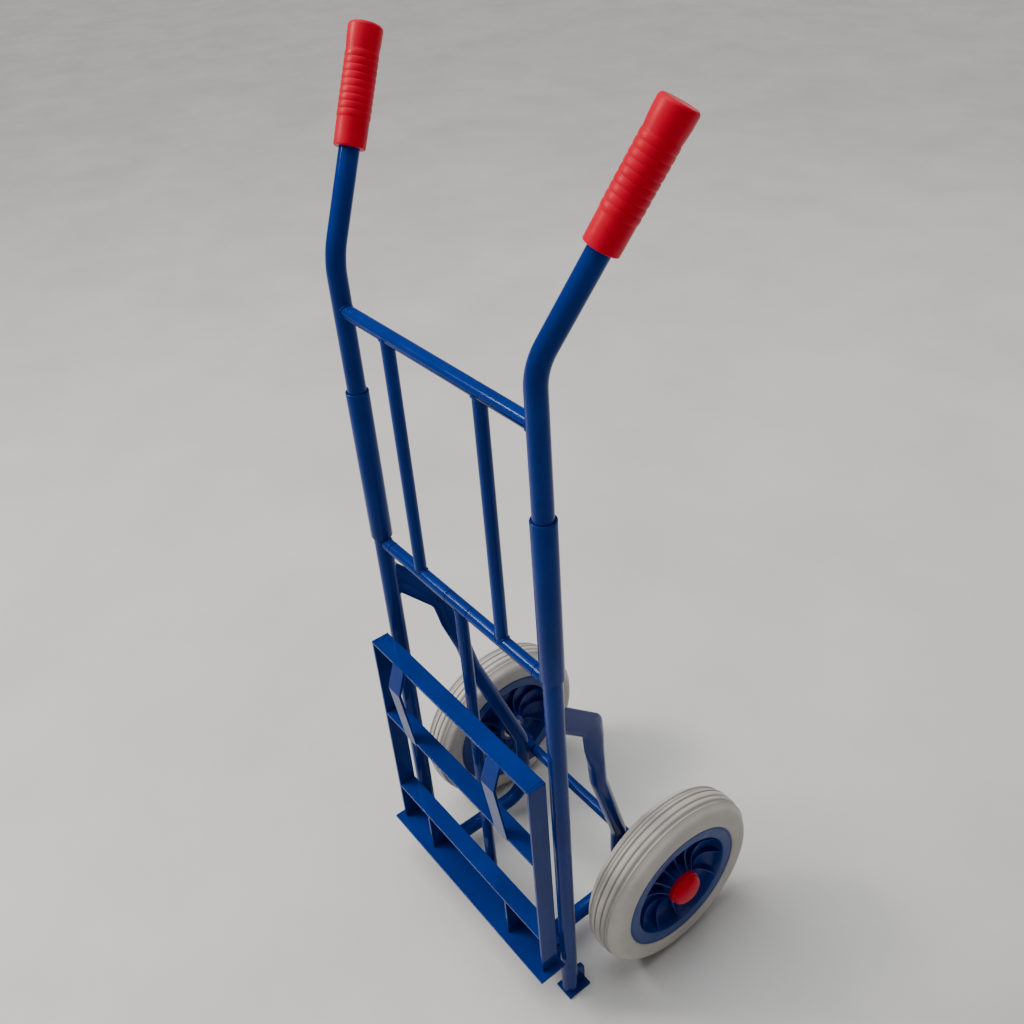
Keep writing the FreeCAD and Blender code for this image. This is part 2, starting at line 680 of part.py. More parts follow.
def tyre(side, sign):
    """Foam tyre with a rounded tread and four shallow grooves."""
    radius = dim("wheel_radius")
    half = dim("tyre_half")
    seat = dim("rim_radius")
    groove = 2.0
    outline = [(seat, -half + 2.0), (seat + 4.0, -half), (seat + 17.0, -half)]
    outline += arc_points((radius - 18.0, -half + 13.0), 13.0, 275.0, 325.0, 4)
    crown = []
    for offset in (-15.0, -5.0, 5.0, 15.0):
        crest = radius - 0.012 * (offset * offset - 25.0)
        crown += [(crest, offset - 1.6), (crest - groove, offset - 0.8)]
        crown += [(crest - groove, offset + 0.8), (crest, offset + 1.6)]
    outline += crown
    outline += arc_points((radius - 18.0, half - 13.0), 13.0, 35.0, 85.0, 4)
    outline += [(seat + 17.0, half), (seat + 4.0, half), (seat, half - 2.0)]
    return wheel_piece("tyre_" + side, outline, sign)


def rim(side, sign):
    """Moulded rim: a barrel under the tyre, a dished web and a hub with two bearing seats."""
    seat = dim("rim_radius")
    half = dim("hub_half")
    bearing = dim("bearing_radius")
    depth = dim("bearing_width")
    lip = dim("tyre_half") - 2.0
    mouth = 77.0
    web = 4.0
    hub = 23.0
    outline = [
        (bearing, -half), (hub, -half), (hub, -web), (mouth - 6.0, -web), (mouth, -lip),
        (seat, -lip), (seat, lip), (mouth, lip), (mouth - 6.0, web), (hub, web), (hub, half),
        (bearing, half), (bearing, half - depth), (bearing - 3.0, half - depth),
        (bearing - 3.0, depth - half), (bearing, depth - half),
    ]
    return wheel_piece("rim_" + side, outline, sign)


def bearings(side, sign):
    """The two ball bearings in the hub, as plain rings."""
    outer = "Dims.bearing_radius"
    pieces = []
    for start in ("Dims.wheel_x - Dims.hub_half", "Dims.wheel_x + Dims.hub_half - Dims.bearing_width"):
        end = start + " + Dims.bearing_width"
        blank = side_tube(sign, outer, start, end, "Dims.axle_y", "Dims.axle_z")
        bore = side_tube(sign, "Dims.bearing_bore", start + " - 1", end + " + 1", "Dims.axle_y", "Dims.axle_z")
        pieces.append(cut(blank, bore))
    pair = doc.addObject("Part::Compound", "Bearings")
    pair.Links = pieces
    return named(pair, "wheel_bearings_" + side)


def bearing_spacer(side, sign):
    """Tube between the two bearings inside the hub."""
    reach = "(Dims.hub_half - Dims.bearing_width)"
    start = "Dims.wheel_x - " + reach
    end = "Dims.wheel_x + " + reach
    blank = side_tube(sign, "11", start, end, "Dims.axle_y", "Dims.axle_z")
    bore = side_tube(sign, "Dims.axle_radius + 0.6", start + " - 1", end + " + 1", "Dims.axle_y", "Dims.axle_z")
    return named(cut(blank, bore), "bearing_spacer_" + side)


def hub_cap(side, sign):
    """Domed cap snapped over the hub, hollow over the axle's end."""
    half = dim("hub_half")
    rim_out = 24.0
    outline = [(rim_out - 1.0, half - 4.0), (rim_out, half - 4.0), (rim_out, half + 2.5)]
    outline += [(22.9, half + 6.4), (19.6, half + 10.2), (14.6, half + 12.8), (8.0, half + 14.2)]
    outline += [(0.0, half + 14.6), (0.0, half + 12.2), (7.6, half + 11.8), (13.6, half + 10.4)]
    outline += [(18.0, half + 8.0), (20.5, half + 4.0)]
    outline += [(20.5, half), (rim_out - 1.0, half)]
    return wheel_piece("hub_cap_" + side, outline, sign)


# ---------------------------------------------------------------- the whole truck

for side, sign in SIDES:
    lower_post(side, sign)
    post_nose(side, sign)
    hinge_stub(side, sign)
    foot_plate(side, sign)
    leg(side, sign)
    axle_bracket(side, sign)
    axle_spacer(side, sign)
    axle_washer(side, sign)
    axle_clip(side, sign)
    upper_post(side, sign)
    ladder_bar(side, sign)
    hinge_barrel(side, sign)
    grip(side, sign)
    sleeve(side, sign)
    side_bar(side, sign)
    toe_rib(side, sign)
    skid(side, sign)
    toe_lug(side, sign)
    tyre(side, sign)
    rim(side, sign)
    bearings(side, sign)
    bearing_spacer(side, sign)
    hub_cap(side, sign)

hinge_knuckle()
hinge_rod()
centre_bar()
heel_tube()
axle()
upper_crossbar()
grid_bar("toe_top_bar", "Dims.grid_top")
grid_bar("toe_middle_bar", "Dims.grid_mid")
grid_bar("toe_low_bar", "Dims.grid_low")
heel_plate()
heel_flange()

doc.recompute()
faults = [obj.Name for obj in doc.Objects if "Invalid" in obj.State or "Error" in obj.State]
if faults:
    raise RuntimeError("objects that failed to build: " + ", ".join(faults))
for part in parts:
    if part.Shape.isNull() or not part.Shape.isValid():
        raise RuntimeError("sub-part without a valid shape: " + part.Label)

os.makedirs("parts", exist_ok=True)
for part in parts:
    part.Shape.exportStep("parts/%s.step" % part.Label)
print("wrote %d sub-parts" % len(parts))
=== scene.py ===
import json
import math

import bmesh
import bpy
from mathutils import Matrix, Vector


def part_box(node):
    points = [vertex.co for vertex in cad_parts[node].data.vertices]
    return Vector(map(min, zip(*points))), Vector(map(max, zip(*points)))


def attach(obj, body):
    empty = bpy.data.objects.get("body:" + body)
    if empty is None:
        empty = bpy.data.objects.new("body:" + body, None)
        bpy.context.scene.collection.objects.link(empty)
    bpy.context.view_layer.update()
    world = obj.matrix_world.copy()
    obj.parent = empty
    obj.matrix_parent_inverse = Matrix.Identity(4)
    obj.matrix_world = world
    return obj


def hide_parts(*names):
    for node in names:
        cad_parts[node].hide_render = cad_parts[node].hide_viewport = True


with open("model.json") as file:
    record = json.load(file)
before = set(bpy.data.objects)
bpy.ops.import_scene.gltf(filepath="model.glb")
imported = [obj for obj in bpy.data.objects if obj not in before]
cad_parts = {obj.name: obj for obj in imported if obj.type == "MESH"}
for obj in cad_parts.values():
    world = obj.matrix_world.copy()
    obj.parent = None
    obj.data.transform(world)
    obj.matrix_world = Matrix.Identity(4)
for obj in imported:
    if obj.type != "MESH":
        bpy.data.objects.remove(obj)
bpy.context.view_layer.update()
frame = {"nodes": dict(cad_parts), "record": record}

# A folding sack truck: gloss powder-coated tube, red moulded grips, and light grey foam tyres on
# moulded rims. Places come from the frame; a piece that is not a refined copy of its CAD node is
# turned or grown here from the same real sizes.

MM = 0.001
SIDES = (("left", 1), ("right", -1))
scene = bpy.context.scene


def middle(node):
    """The middle of a CAD node's box."""
    lowest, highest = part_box(node)
    return (lowest + highest) / 2


AXLE = middle("axle")
POST = middle("lower_post_left")
HEEL = middle("heel_tube")
HINGE = middle("hinge_rod")
CROSSBAR = middle("upper_crossbar")
# Bar sizes, which the nodes' boxes don't give on their own.
TUBE_RADIUS = 11 * MM
BAR_RADIUS = 8 * MM
RUNG_RADIUS = 7.5 * MM
HEEL_RADIUS = 10 * MM
WHEEL_X = middle("tyre_left").x


# ---------------------------------------------------------------- materials

def linear(hex_colour):
    """An sRGB hex colour as the linear values the shader wants, fully opaque."""
    channels = [int(hex_colour[i:i + 2], 16) / 255 for i in (1, 3, 5)]
    return [c / 12.92 if c <= 0.04045 else ((c + 0.055) / 1.055) ** 2.4 for c in channels] + [1.0]


def add_node(tree, kind, inputs=None, **settings):
    """One node with its settings; an input is a value, or a socket to link from."""
    made = tree.nodes.new(kind)
    for name, value in settings.items():
        setattr(made, name, value)
    for key, value in (inputs or {}).items():
        if isinstance(value, bpy.types.NodeSocket):
            tree.links.new(value, made.inputs[key])
        else:
            made.inputs[key].default_value = value
    return made


def ramp(tree, factor, stops):
    """A colour ramp through (position, hex colour) stops."""
    made = add_node(tree, "ShaderNodeValToRGB", {"Fac": factor})
    elements = made.color_ramp.elements
    while len(elements) < len(stops):
        elements.new(0.5)
    for element, (position, hex_colour) in zip(elements, stops):
        element.position = position
        element.color = linear(hex_colour)
    return made.outputs["Color"]


def mapped(tree, value, low_out, high_out, low_in=0.0, high_in=1.0):
    """A value carried from one range to another and held at its ends."""
    made = add_node(tree, "ShaderNodeMapRange", {
        "Value": value, "From Min": low_in, "From Max": high_in,
        "To Min": low_out, "To Max": high_out})
    return made.outputs["Result"]


def noise(tree, place, size_mm, detail=3.0, roughness=0.5):
    """Noise whose features are about size_mm across."""
    made = add_node(tree, "ShaderNodeTexNoise", {
        "Vector": place, "Scale": 1 / (size_mm * MM), "Detail": detail, "Roughness": roughness})
    return made.outputs["Fac"]


def bumped(tree, height, depth_mm, strength, under=None):
    """A bump of the given depth, optionally on top of another."""
    inputs = {"Height": height, "Distance": depth_mm * MM, "Strength": strength}
    if under is not None:
        inputs["Normal"] = under
    return add_node(tree, "ShaderNodeBump", inputs).outputs["Normal"]


def mixed(tree, factor, first, second):
    """Two colours mixed by a factor."""
    made = add_node(tree, "ShaderNodeMix", {0: factor, 6: first, 7: second}, data_type="RGBA")
    return made.outputs[2]


def finish_material(name, paint, **constants):
    """A material whose paint function links patterns to the shader; constants sit on its sockets."""
    made = bpy.data.materials.new(name)
    made.use_nodes = True
    tree = made.node_tree
    tree.nodes.clear()
    shader = add_node(tree, "ShaderNodeBsdfPrincipled", constants)
    add_node(tree, "ShaderNodeOutputMaterial", {"Surface": shader.outputs["BSDF"]})
    place = add_node(tree, "ShaderNodeTexCoord").outputs["Object"]
    for socket, value in paint(tree, place).items():
        tree.links.new(value, shader.inputs[socket])
    return made


def powder_coat(tree, place):
    """Baked polyester powder: a deep gloss with faint orange peel, hand smears and a little dust."""
    cloud = noise(tree, place, 90, 4)
    tone = ramp(tree, cloud, ((0.3, "#002069"), (0.7, "#002a7e")))
    dust = mapped(tree, noise(tree, place, 22, 5, 0.6), 0.0, 0.07, 0.56, 0.8)
    speck = mapped(tree, noise(tree, place, 1.6, 2, 0.6), 0.0, 0.2, 0.72, 0.77)
    tone = mixed(tree, dust, tone, linear("#415f90"))
    tone = mixed(tree, speck, tone, linear("#5b7098"))
    smear = mapped(tree, noise(tree, place, 35, 5, 0.65), 0.12, 0.26, 0.35, 0.75)
    peel = bumped(tree, noise(tree, place, 3.2, 1, 0.4), 0.03, 0.2)
    return {"Base Color": tone, "Roughness": smear, "Normal": peel}


def moulded_grip(tree, place):
    """Dip-moulded soft PVC: saturated red, satin, slightly duller where hands have held it."""
    cloud = noise(tree, place, 40, 4)
    tone = ramp(tree, cloud, ((0.3, "#c40028"), (0.7, "#d4002d")))
    grime = mapped(tree, noise(tree, place, 9, 6, 0.7), 0.0, 0.3, 0.58, 0.8)
    tone = mixed(tree, grime, tone, linear("#86001f"))
    shine = mapped(tree, noise(tree, place, 22, 4), 0.32, 0.46, 0.3, 0.7)
    grain = bumped(tree, noise(tree, place, 0.9, 2), 0.06, 0.35)
    return {"Base Color": tone, "Roughness": shine, "Normal": grain}


def radius_from_axle(tree, place):
    """Distance of the surface from the axle's line, in metres."""
    centred = add_node(tree, "ShaderNodeMapping", {
        "Vector": place, "Location": (0, -AXLE.y, -AXLE.z), "Scale": (0, 1, 1)})
    length = add_node(tree, "ShaderNodeVectorMath", {0: centred.outputs["Vector"]}, operation="LENGTH")
    return length.outputs["Value"]


def foam_tyre(tree, place):
    """Skinned polyurethane foam: light grey, matt, with painted shade darkening the grooves, scuffed on the
    tread.
    """
    radius = radius_from_axle(tree, place)
    cloud = noise(tree, place, 45, 5, 0.6)
    tone = ramp(tree, cloud, ((0.3, "#b3aea8"), (0.7, "#c4beb6")))
    # Painted shade: the groove floors below the tread crests are darkened towards #6d6864.
    groove_shade_mask = mapped(tree, radius, 0.75, 0.0, 127.9 * MM, 129.2 * MM)
    on_tread = mapped(tree, radius, 0.0, 1.0, 127.0 * MM, 127.6 * MM)
    painted_groove_shade = add_node(tree, "ShaderNodeMath", {0: groove_shade_mask, 1: on_tread}, operation="MULTIPLY").outputs[0]
    tone = mixed(tree, painted_groove_shade, tone, linear("#6d6864"))
    scuff = mapped(tree, noise(tree, place, 7, 7, 0.75), 0.0, 0.45, 0.56, 0.76)
    tone = mixed(tree, scuff, tone, linear("#8b8682"))
    shine = mapped(tree, cloud, 0.34, 0.5, 0.3, 0.7)
    skin = bumped(tree, noise(tree, place, 1.2, 3, 0.6), 0.05, 0.4)
    return {"Base Color": tone, "Roughness": shine, "Normal": skin}


def moulded_rim(tree, place):
    """Injection-moulded polypropylene: one blue with a soft sheen and faint flow marks; painted light makes
    the outer face band lighter and greyer, and the recess stays darker as painted shade.
    """
    radius = radius_from_axle(tree, place)
    cloud = noise(tree, place, 28, 3)
    # Painted light and shade: inside 75 mm the rim keeps the darker recess blue as painted shade; the outer
    # face band beyond 79 mm is lightened towards #17447e as painted light.
    deep = ramp(tree, cloud, ((0.3, "#01217a"), (0.7, "#032c8c")))
    face = mapped(tree, radius, 0.0, 0.55, 75 * MM, 79 * MM)
    tone = mixed(tree, face, deep, linear("#17447e"))
    dust = mapped(tree, noise(tree, place, 5, 6, 0.7), 0.0, 0.14, 0.55, 0.8)
    tone = mixed(tree, dust, tone, linear("#68788f"))
    shine = mapped(tree, noise(tree, place, 18, 4), 0.28, 0.42, 0.3, 0.7)
    flow = bumped(tree, noise(tree, place, 3.5, 2), 0.08, 0.3)
    return {"Base Color": tone, "Roughness": shine, "Normal": flow}


def zinc_plate(tree, place):
    """Bright zinc over turned steel: fine rings of tooling and a clouded, slightly yellow lustre."""
    cloud = noise(tree, place, 6, 5, 0.6)
    tone = ramp(tree, cloud, ((0.3, "#9fa0a0"), (0.7, "#c3c3bf")))
    shine = mapped(tree, noise(tree, place, 2.5, 4), 0.28, 0.5, 0.3, 0.7)
    tooling = bumped(tree, noise(tree, place, 0.7, 2), 0.03, 0.4)
    return {"Base Color": tone, "Roughness": shine, "Normal": tooling}


def painted_floor(tree, place):
    """Pale sealed screed with a faint trowel cloud."""
    cloud = noise(tree, place, 420, 5, 0.55)
    tone = ramp(tree, cloud, ((0.35, "#cbcac8"), (0.65, "#d4d3d0")))
    shine = mapped(tree, noise(tree, place, 160, 4), 0.45, 0.62, 0.35, 0.65)
    grit = bumped(tree, noise(tree, place, 3, 3), 0.08, 0.25)
    return {"Base Color": tone, "Roughness": shine, "Normal": grit}


BLUE_PAINT = finish_material("blue_powder_coat", powder_coat, **{
    "IOR": 1.5, "Specular IOR Level": 0.12, "Coat Weight": 0.12, "Coat Roughness": 0.05,
    "Coat IOR": 1.5, "Specular Tint": linear("#6f9be0")})
RED_PLASTIC = finish_material("red_dipped_pvc", moulded_grip, **{"IOR": 1.52, "Specular IOR Level": 0.2,
    "Specular Tint": linear("#ff8a90")})
TYRE_FOAM = finish_material("grey_polyurethane_foam", foam_tyre, **{"IOR": 1.45})
RIM_PLASTIC = finish_material("blue_polypropylene", moulded_rim, **{"IOR": 1.49, "Specular IOR Level": 0.35})
BRIGHT_STEEL = finish_material("zinc_plated_steel", zinc_plate, **{"Metallic": 1.0})
FLOOR = finish_material("pale_sealed_screed", painted_floor, **{"IOR": 1.5})
FINISHES = {"blue_paint": BLUE_PAINT, "red_plastic": RED_PLASTIC, "tyre_foam": TYRE_FOAM,
            "rim_plastic": RIM_PLASTIC, "bright_steel": BRIGHT_STEEL}
SLOT_OF = {entry["node"]: entry["material_slot"] for entry in frame["record"]["subparts"]}
BODY_OF = {node: body for body, nodes in frame["record"]["behaviour"]["bodies"].items()
           for node in nodes}


# ---------------------------------------------------------------- making pieces

def piece(name, mesh, body, material, nodes=(), soft_angle=35):
    """A finished mesh as a piece at the origin: shaded, painted, and riding on its body.

    Edges sharper than soft_angle degrees stay crisp.
    """
    mesh.materials.clear()
    mesh.materials.append(material)
    mesh.polygons.foreach_set("use_smooth", [True] * len(mesh.polygons))
    mesh.set_sharp_from_angle(angle=math.radians(soft_angle))
    made = bpy.data.objects.new(name, mesh)
    scene.collection.objects.link(made)
    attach(made, body)
    if nodes:
        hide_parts(*nodes)
    return made


def edge_bevel(obj, width):
    """Rounds a piece's sharp edges by a real width."""
    bevel = obj.modifiers.new("Edges", "BEVEL")
    bevel.width = width
    bevel.segments = 2
    bevel.limit_method = "ANGLE"
    bevel.angle_limit = math.radians(40)
    bevel.use_clamp_overlap = True
    bevel.harden_normals = True


def refined(node, round_edges=0.0):
    """A clean copy of a CAD node: corners merged, flats rejoined, edges softly rounded."""
    bm = bmesh.new()
    bm.from_mesh(frame["nodes"][node].data)
    bmesh.ops.remove_doubles(bm, verts=bm.verts, dist=1e-6)
    bmesh.ops.dissolve_limit(bm, angle_limit=math.radians(0.4), verts=bm.verts, edges=bm.edges)
    mesh = bpy.data.meshes.new("made_" + node)
    bm.to_mesh(mesh)
    bm.free()
    slot = SLOT_OF[node]
    made = piece("made_" + node, mesh, BODY_OF[node], FINISHES[slot], [node])
    if round_edges:
        edge_bevel(made, round_edges)
    return made


def lathe(outline, origin, direction, steps=144):
    """A mesh turned from a closed outline of (radius, height) in mm about a line."""
    bm = bmesh.new()
    turn = Vector(direction).to_track_quat("Z", "Y").to_matrix().to_4x4()
    seat = Matrix.Translation(origin) @ turn
    rings = []
    for step in range(steps):
        angle = 2 * math.pi * step / steps
        rings.append([bm.verts.new(seat @ Vector((radius * math.cos(angle) * MM,
                                                  radius * math.sin(angle) * MM, height * MM)))
                      for radius, height in outline])
    count = len(outline)
    for ring, after in zip(rings, rings[1:] + rings[:1]):
        for i in range(count):
            j = (i + 1) % count
            if outline[i][0] < 1e-6 and outline[j][0] < 1e-6:
                continue
            bm.faces.new((ring[i], after[i], after[j], ring[j]))
    bmesh.ops.remove_doubles(bm, verts=bm.verts, dist=1e-7)
    bmesh.ops.dissolve_degenerate(bm, dist=1e-7, edges=bm.edges)
    bmesh.ops.recalc_face_normals(bm, faces=bm.faces)
    mesh = bpy.data.meshes.new("turned")
    bm.to_mesh(mesh)
    bm.free()
    return mesh


def arc(centre, radius, start, end, steps=8):
    """Outline points on an arc, angles in degrees, both ends included."""
    angles = [math.radians(start + (end - start) * i / steps) for i in range(steps + 1)]
    return [(centre[0] + radius * math.cos(a), centre[1] + radius * math.sin(a)) for a in angles]


def joined(*meshes):
    """Several meshes as one."""
    bm = bmesh.new()
    for mesh in meshes:
        bm.from_mesh(mesh)
    mesh = bpy.data.meshes.new("joined")
    bm.to_mesh(mesh)
    bm.free()
    return mesh


# ---------------------------------------------------------------- geometry trees

def new_tree(name, sizes):
    """A geometry tree with named inputs; sizes is a list of (name, socket type, default)."""
    tree = bpy.data.node_groups.new(name, "GeometryNodeTree")
    tree.interface.new_socket("Geometry", in_out="INPUT", socket_type="NodeSocketGeometry")
    tree.interface.new_socket("Geometry", in_out="OUTPUT", socket_type="NodeSocketGeometry")
    for label, kind, default in sizes:
        socket = tree.interface.new_socket(label, in_out="INPUT", socket_type=kind)
        if default is not None:
            socket.default_value = default
    return tree, add_node(tree, "NodeGroupInput").outputs


def grown(tree, values, base=None):
    """The plain mesh a tree gives for these input values."""
    holder = bpy.data.objects.new("holder", base or bpy.data.meshes.new("holder"))
    scene.collection.objects.link(holder)
    modifier = holder.modifiers.new("Grow", "NODES")
    modifier.node_group = tree
    for item in tree.interface.items_tree:
        if item.in_out == "INPUT" and item.name in values:
            modifier[item.identifier] = values[item.name]
    bpy.context.view_layer.update()
    evaluated = holder.evaluated_get(bpy.context.evaluated_depsgraph_get())
    mesh = bpy.data.meshes.new_from_object(evaluated)
    bpy.data.objects.remove(holder)
    return mesh


def math_node(tree, operation, first, second=0.0):
    """One step of arithmetic."""
    return add_node(tree, "ShaderNodeMath", {0: first, 1: second}, operation=operation).outputs[0]


def end_tree(tree, geometry, material):
    """Closes a tree with realised instances and a material."""
    real = add_node(tree, "GeometryNodeRealizeInstances", {"Geometry": geometry})
    done = add_node(tree, "GeometryNodeSetMaterial", {"Geometry": real.outputs["Geometry"],
                                                      "Material": material})
    add_node(tree, "NodeGroupOutput", {"Geometry": done.outputs["Geometry"]})


def weld_tree():
    """Weld seams: overlapping flattened beads laid along each edge path."""
    tree, sizes = new_tree("weld_seams", (
        ("Bead Radius", "NodeSocketFloat", 1.5 * MM), ("Bead Pitch", "NodeSocketFloat", 1.1 * MM),
        ("Material", "NodeSocketMaterial", None)))
    paths = add_node(tree, "GeometryNodeMeshToCurve", {"Mesh": sizes["Geometry"]})
    laid = add_node(tree, "GeometryNodeResampleCurve", {"Curve": paths.outputs["Curve"],
                                                        "Length": sizes["Bead Pitch"]}, mode="LENGTH")
    bead = add_node(tree, "GeometryNodeMeshIcoSphere", {"Radius": sizes["Bead Radius"],
                                                        "Subdivisions": 2})
    size = add_node(tree, "FunctionNodeRandomValue", {2: 0.82, 3: 1.12, "Seed": 7}, data_type="FLOAT")
    beads = add_node(tree, "GeometryNodeInstanceOnPoints", {
        "Points": laid.outputs["Curve"], "Instance": bead.outputs["Mesh"], "Scale": size.outputs[1]})
    end_tree(tree, beads.outputs["Instances"], sizes["Material"])
    return tree


# Points along a fin's edge, and how sharply that edge climbs towards its two ends.
FIN_STATIONS = 25
DIP_SHARPNESS = 2.2


def fin_tree():
    """Rim fins: thin radial walls whose top edge dips between hub and rim, on both faces."""
    tree, sizes = new_tree("rim_fins", (
        ("Count", "NodeSocketInt", 12), ("Hub Radius", "NodeSocketFloat", 22 * MM),
        ("Rim Radius", "NodeSocketFloat", 78 * MM), ("Thickness", "NodeSocketFloat", 2.2 * MM),
        ("Low Edge", "NodeSocketFloat", 8 * MM), ("High Edge", "NodeSocketFloat", 25 * MM),
        ("Material", "NodeSocketMaterial", None)))
    reach = math_node(tree, "SUBTRACT", sizes["Rim Radius"], sizes["Hub Radius"])
    mid = math_node(tree, "MULTIPLY", math_node(tree, "ADD", sizes["Rim Radius"], sizes["Hub Radius"]), 0.5)
    size = add_node(tree, "ShaderNodeCombineXYZ", {0: reach, 1: sizes["Thickness"], 2: 1.0})
    block = add_node(tree, "GeometryNodeMeshCube", {"Size": size.outputs[0],
                                                      "Vertices X": FIN_STATIONS})
    spot = add_node(tree, "GeometryNodeInputPosition").outputs[0]
    along, across, height = add_node(tree, "ShaderNodeSeparateXYZ", {0: spot}).outputs
    share = math_node(tree, "DIVIDE", along, math_node(tree, "MULTIPLY", reach, 0.5))
    rise = math_node(tree, "POWER", math_node(tree, "ABSOLUTE", share), DIP_SHARPNESS)
    lift = math_node(tree, "MULTIPLY", rise,
                     math_node(tree, "SUBTRACT", sizes["High Edge"], sizes["Low Edge"]))
    top = math_node(tree, "ADD", lift, sizes["Low Edge"])
    is_top = math_node(tree, "GREATER_THAN", height, 0.0)
    level = math_node(tree, "MULTIPLY", top, is_top)
    to = add_node(tree, "ShaderNodeCombineXYZ", {0: math_node(tree, "ADD", along, mid), 1: across,
                                                 2: level}).outputs[0]
    fin = add_node(tree, "GeometryNodeSetPosition", {"Geometry": block.outputs["Mesh"], "Position": to})
    spots = add_node(tree, "GeometryNodePoints", {"Count": sizes["Count"]})
    index = add_node(tree, "GeometryNodeInputIndex").outputs[0]
    step = math_node(tree, "DIVIDE", 2 * math.pi, sizes["Count"])
    angle = math_node(tree, "MULTIPLY", index, step)
    both = add_node(tree, "GeometryNodeJoinGeometry")
    for flip in (0.0, math.pi):
        turn = add_node(tree, "ShaderNodeCombineXYZ", {0: flip, 2: angle}).outputs[0]
        fins = add_node(tree, "GeometryNodeInstanceOnPoints", {
            "Points": spots.outputs[0], "Instance": fin.outputs["Geometry"], "Rotation": turn})
        tree.links.new(fins.outputs["Instances"], both.inputs[0])
    end_tree(tree, both.outputs[0], sizes["Material"])
    return tree


# ---------------------------------------------------------------- weld paths

def cope_path(start, direction, halves, post, post_axis, post_radius, side=None, steps=48):
    """Where a bar, starting away from a post and pointing at it, meets the post's wall.

    The bar's section is an oval: halves are its half sizes across and along the post, and side
    is the direction across when the oval stands a little askew.
    """
    direction = Vector(direction).normalized()
    axis = Vector(post_axis).normalized()
    side = Vector(side or direction.cross(axis)).normalized()
    other = side.cross(direction)
    path = []
    for step in range(steps):
        angle = 2 * math.pi * step / steps
        begin = (Vector(start) + halves[0] * math.cos(angle) * side
                 + halves[1] * math.sin(angle) * other)
        gap = begin - Vector(post)
        flat_gap = gap - gap.dot(axis) * axis
        flat_way = direction - direction.dot(axis) * axis
        a = flat_way.length_squared
        b = 2 * flat_gap.dot(flat_way)
        c = flat_gap.length_squared - post_radius ** 2
        root = math.sqrt(max(b * b - 4 * a * c, 0.0))
        path.append(begin + direction * ((-b - root) / (2 * a)))
    return path


def ring_path(centre, radius, steps=48):
    """A level circle."""
    return [Vector(centre) + Vector((radius * math.cos(2 * math.pi * i / steps),
                                     radius * math.sin(2 * math.pi * i / steps), 0))
            for i in range(steps)]


def path_mesh(loops, runs):
    """Closed loops and open runs of points as one mesh of edges."""
    verts = []
    edges = []
    for points, closed in [(p, True) for p in loops] + [(p, False) for p in runs]:
        base = len(verts)
        verts += [tuple(p) for p in points]
        edges += [(base + i, base + i + 1) for i in range(len(points) - 1)]
        if closed:
            edges.append((base + len(points) - 1, base))
    mesh = bpy.data.meshes.new("paths")
    mesh.from_pydata(verts, edges, [])
    return mesh


# ---------------------------------------------------------------- refined copies of the frame

PLATES = ("toe_top_bar", "toe_middle_bar", "toe_low_bar", "heel_plate", "heel_flange",
          "toe_side_bar", "toe_rib", "toe_skid", "toe_lugs", "foot_plate", "axle_bracket")
TURNED_HERE = ("grip", "tyre", "rim", "hub_cap", "sleeve")

for node in frame["nodes"]:
    kind = node.removesuffix("_left").removesuffix("_right")
    if kind in TURNED_HERE:
        continue
    refined(node, 0.7 * MM if kind in PLATES else 0.0)


# ---------------------------------------------------------------- sleeves and grips

def sleeve_outline(length):
    """A plain tube whose four lips are eased."""
    bore = 11.2
    outside = 13.5
    ease = 0.9
    chamfer = 0.6
    inner_lip = 11.9
    outer_lip = 12.9
    outline = [(bore, chamfer), (inner_lip, 0.0), (outer_lip, 0.0)]
    outline += arc((outside - ease, ease), ease, -60, 0, 3)
    outline += arc((outside - ease, length - ease), ease, 0, 60, 3)
    return outline + [(outer_lip, length), (inner_lip, length), (bore, length - chamfer)]


for side, sign in SIDES:
    lowest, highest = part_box("sleeve_" + side)
    foot = Vector(((lowest.x + highest.x) / 2, (lowest.y + highest.y) / 2, lowest.z))
    mesh = lathe(sleeve_outline((highest.z - lowest.z) / MM), foot, (0, 0, 1))
    piece("sleeve_tube_" + side, mesh, "sleeve_" + side, BLUE_PAINT, ["sleeve_" + side])

# The handle leans back from the posts and splays outwards from the bend's corner.
LEAN = math.radians(31)
SPLAY = math.radians(27)
BEND_Z = 955 * MM
GRIP_START = 112 * MM


def grip_outline():
    """Collar, nine rounded ribs and a flared closed end."""
    length = 121.0
    bore = 11.05
    bore_end = 116.0
    collar = 16.85
    mouth_round = 1.2
    end_round = 4.0
    outline = [(bore, 0.0), (15.5, 0.0)] + arc((15.5, mouth_round), mouth_round, -90, 0, 5)
    outline += [(16.8, 10.0), (collar, 24.0), (collar, 27.0)]
    first_rib = 28.3
    rib_pitch = 7.2
    rib_height = 0.6
    ribs = 9
    points_per_rib = 12
    for i in range(ribs * points_per_rib + 1):
        share = i / points_per_rib
        crown = abs(math.sin(math.pi * share)) ** 0.55
        outline.append((collar + rib_height * crown, first_rib + rib_pitch * share))
    outline += [(16.95, 94.5), (17.15, 97.0), (17.6, 102.0), (17.9, 108.0)]
    outline += arc((13.9, length - 4.1), end_round, 0, 90, 8)
    return outline + [(8.0, length - 0.1), (0.0, length), (0.0, bore_end), (bore, bore_end)]


for side, sign in SIDES:
    way = Vector((sign * math.sin(LEAN) * math.sin(SPLAY), math.sin(LEAN) * math.cos(SPLAY),
                  math.cos(LEAN)))
    corner = Vector((sign * POST.x, POST.y, BEND_Z))
    mesh = lathe(grip_outline(), corner + way * GRIP_START, way, 96)
    piece("hand_grip_" + side, mesh, "upper_frame", RED_PLASTIC, ["grip_" + side], 55)


# ---------------------------------------------------------------- wheels

WHEEL_HALF = 29.0


